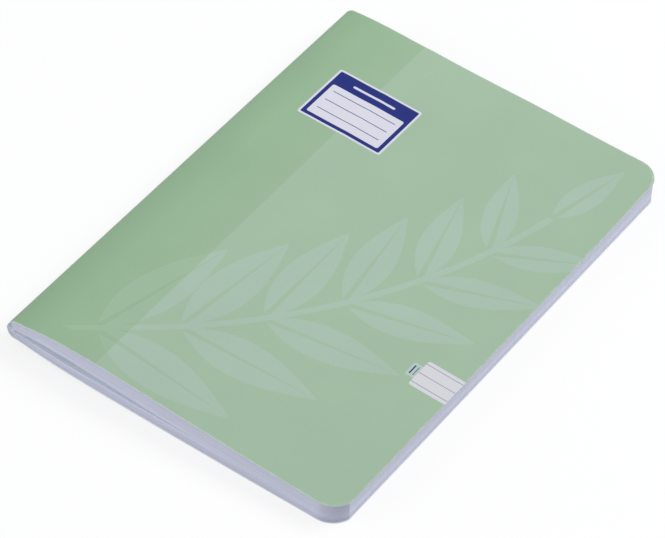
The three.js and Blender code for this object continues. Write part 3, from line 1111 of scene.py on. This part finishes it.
def bend(corner, before, after):
    """Round off one corner of the wire between its neighbours."""
    start = corner + (before - corner).normalized() * WIRE_BEND
    end = corner + (after - corner).normalized() * WIRE_BEND
    centre = start + end - corner
    turns = [math.pi / 2 * step / BEND_STEPS for step in range(BEND_STEPS + 1)]
    return [centre + (start - centre) * math.cos(turn) + (end - centre) * math.sin(turn)
            for turn in turns]


def make_staple(name, node, centre_y):
    """Bent wire: its back on the spine, its legs through the fold, its points in the middle."""
    def at(distance, y):
        return Vector((distance, centre_y + y, FOLD_HEIGHT))

    half = STAPLE_WIDTH / 2
    corners = [at(CLINCH_DISTANCE, -half + STAPLE_POINT), at(CLINCH_DISTANCE, -half), at(0, -half),
               at(0, half), at(CLINCH_DISTANCE, half), at(CLINCH_DISTANCE, half - STAPLE_POINT)]
    taper = Vector((0, TAPER_LENGTH, 0))
    path = [corners[0], corners[0] - taper]
    for before, corner, after in zip(corners, corners[1:], corners[2:]):
        path += bend(corner, before, after)
    path += [corners[-1] + taper, corners[-1]]
    staple = make_tube(name, path, WIRE_RADIUS, WIRE_SIDES, STAPLE_WIRE, TAPERED_SHARE)
    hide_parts(node)
    body = next(name for name, nodes in BODIES.items() if node in nodes)
    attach(staple, body)


def make_spine_skins():
    """The skin of the folded card on its hinge line, which shows the same at any opening."""
    stops = fold_stops(HALF_HEIGHT)
    names = ("spine_skin_bottom", "spine_skin_middle", "spine_skin_top")
    for name, low, high in zip(names, stops[::2], stops[1::2]):
        path = [Vector((0, low, FOLD_HEIGHT)), Vector((0, high, FOLD_HEIGHT))]
        bead = make_tube(name, path, SPINE_SKIN_RADIUS, SPINE_SKIN_SIDES, BACK_PRINT)
        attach(bead, "back_cover")


make_staple("wire_staple_bottom", "staple_bottom", STAPLE_CENTRES[0])
make_staple("wire_staple_top", "staple_top", STAPLE_CENTRES[1])
make_spine_skins()


# Camera, light and floor. The camera sees the world as pure white, and the floor mostly as an
# even glow, with enough of its own shade left in it for the book's shadow. Each light is
# (name, azimuth and elevation in degrees, distance and size in metres, watts, tint).
FLOOR_HALF_SIZE = 3.0
FLOOR_DROP = 0.00002
FLOOR_COLOUR = (0.78, 0.78, 0.78, 1)
FLOOR_ROUGHNESS = 0.9
FLOOR_GLOW = 1.06
FLOOR_GLOW_SHARE = 0.75
WHITE = (1, 1, 1, 1)
WORLD_TINT = (0.93, 0.95, 1.0, 1)
WORLD_LIGHT = 0.53
LIGHTS = (("key", 138, 48, 1.6, 0.9, 15, (1, 1, 1)),
          ("fill", -40, 20, 1.5, 1.0, 9, (0.97, 0.97, 1.0)))


def direction(azimuth, elevation):
    """Towards a camera or a light, from the bottom end's side at 0 round to the fore edge's."""
    level = math.cos(elevation)
    return Vector((math.sin(azimuth) * level, -math.cos(azimuth) * level, math.sin(elevation)))


def make_camera():
    """A centred camera that stands and is turned as in the photograph."""
    data = bpy.data.cameras.new("photo_camera")
    data.sensor_width = SENSOR_WIDTH
    data.lens = FOCAL_PIXELS / PHOTO_WIDTH * SENSOR_WIDTH
    data.clip_start, data.clip_end = CAMERA_CLIP
    camera = bpy.data.objects.new("photo_camera", data)
    bpy.context.scene.collection.objects.link(camera)
    bpy.context.scene.camera = camera
    back = direction(CAMERA_AZIMUTH, CAMERA_ELEVATION)
    right = (-back).cross(Vector((0, 0, 1))).normalized()
    up = right.cross(-back)
    turned_right = right * math.cos(CAMERA_ROLL) - up * math.sin(CAMERA_ROLL)
    turned_up = up * math.cos(CAMERA_ROLL) + right * math.sin(CAMERA_ROLL)
    target = place(*CAMERA_TARGET, 0)
    turn = Matrix((turned_right, turned_up, back)).transposed().to_4x4()
    camera.matrix_world = Matrix.Translation(target + back * CAMERA_DISTANCE * MM) @ turn


def make_floor():
    """A pale floor, which keeps the shadow of the book."""
    size = FLOOR_HALF_SIZE
    corners = [(-size, -size, 0), (size, -size, 0), (size, size, 0), (-size, size, 0)]
    floor = new_object("floor", corners, [(0, 1, 2, 3)], ())
    floor.location.z = -FLOOR_DROP
    material, n, shader = new_material("floor")
    shader.inputs["Base Color"].default_value = FLOOR_COLOUR
    shader.inputs["Roughness"].default_value = FLOOR_ROUGHNESS
    shader.inputs["Specular IOR Level"].default_value = 0.0
    glow = n.add("ShaderNodeEmission", {"Color": WHITE, "Strength": FLOOR_GLOW})
    amount = n.math("MULTIPLY", n.seen_directly(), FLOOR_GLOW_SHARE)
    mixed = n.add("ShaderNodeMixShader", {0: amount, 1: shader.outputs[0], 2: glow.outputs[0]})
    output = material.node_tree.nodes["Material Output"]
    n.link(mixed.outputs[0], output.inputs["Surface"])
    floor.data.materials.append(material)


def make_world():
    """Even light from all round."""
    world = bpy.data.worlds.new("studio")
    bpy.context.scene.world = world
    world.use_nodes = True
    world.node_tree.nodes.clear()
    n = Nodes(world.node_tree)
    light = n.add("ShaderNodeBackground", {"Color": WORLD_TINT, "Strength": WORLD_LIGHT})
    white = n.add("ShaderNodeBackground", {"Color": WHITE, "Strength": 1.0})
    shaders = {0: n.seen_directly(), 1: light.outputs[0], 2: white.outputs[0]}
    mixed = n.add("ShaderNodeMixShader", shaders)
    n.add("ShaderNodeOutputWorld", {"Surface": mixed.outputs[0]})


def make_light(name, azimuth, elevation, distance, size, power, tint):
    """A square lamp that faces the middle of the scene."""
    data = bpy.data.lights.new(name, "AREA")
    data.shape = "SQUARE"
    data.size = size
    data.energy = power
    data.color = tint
    lamp = bpy.data.objects.new(name, data)
    bpy.context.scene.collection.objects.link(lamp)
    back = direction(math.radians(azimuth), math.radians(elevation))
    lamp.location = back * distance
    lamp.rotation_mode = "QUATERNION"
    lamp.rotation_quaternion = back.to_track_quat("Z", "Y")


make_camera()
make_floor()
make_world()
for light in LIGHTS:
    make_light(*light)

bpy.context.scene.view_settings.view_transform = "Standard"
